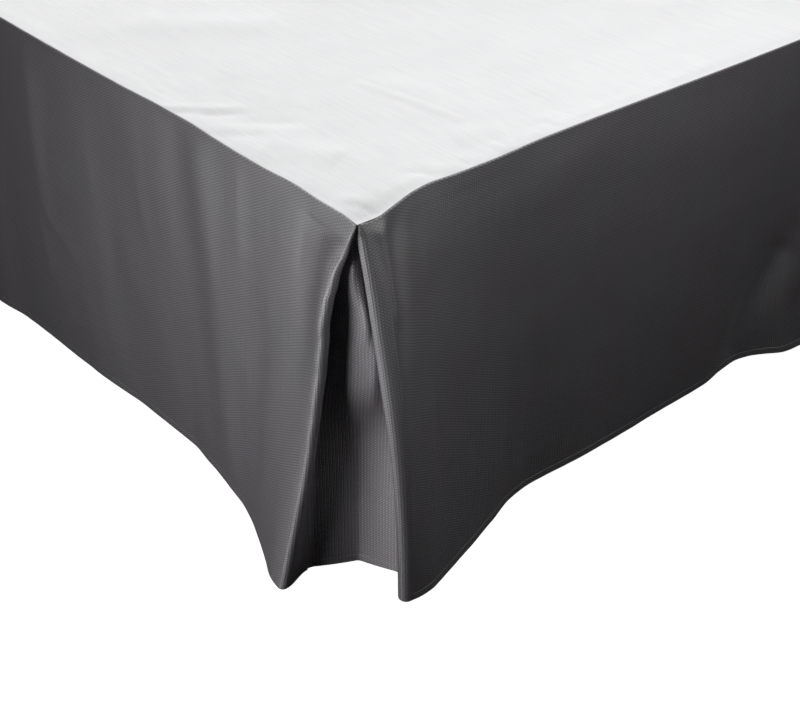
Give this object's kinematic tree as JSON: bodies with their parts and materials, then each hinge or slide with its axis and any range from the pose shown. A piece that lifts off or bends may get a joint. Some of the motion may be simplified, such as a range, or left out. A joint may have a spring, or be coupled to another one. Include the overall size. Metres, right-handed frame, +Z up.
{
  "type": "bed skirt on bed base",
  "caption": "Charcoal basket-weave bed skirt with a white deck and inverted pleats at its foot corners, hung on a plain box base with round legs.",
  "frame": {"origin": "on the floor, under the middle of the whole object", "axes": "+X across the bed, +Y from the foot end to the open head end, +Z up"},
  "size_m": [1.7582, 2.0754, 0.5099],
  "materials": {
    "drop_cloth": "charcoal basket weave, matt with a slight sheen",
    "deck_cloth": "white plain-weave cotton",
    "base_cover": "pale grey-beige ticking on a box base",
    "leg_wood": "stained beech, satin"
  },
  "bodies": {
    "root": {"left_drop": "drop_cloth", "foot_drop": "drop_cloth", "right_drop": "drop_cloth", "left_insert": "drop_cloth", "right_insert": "drop_cloth", "deck": "deck_cloth", "bed_base": "base_cover", "leg_1": "leg_wood", "leg_2": "leg_wood", "leg_3": "leg_wood", "leg_4": "leg_wood", "leg_5": "leg_wood", "leg_6": "leg_wood"}
  },
  "joints": []
}
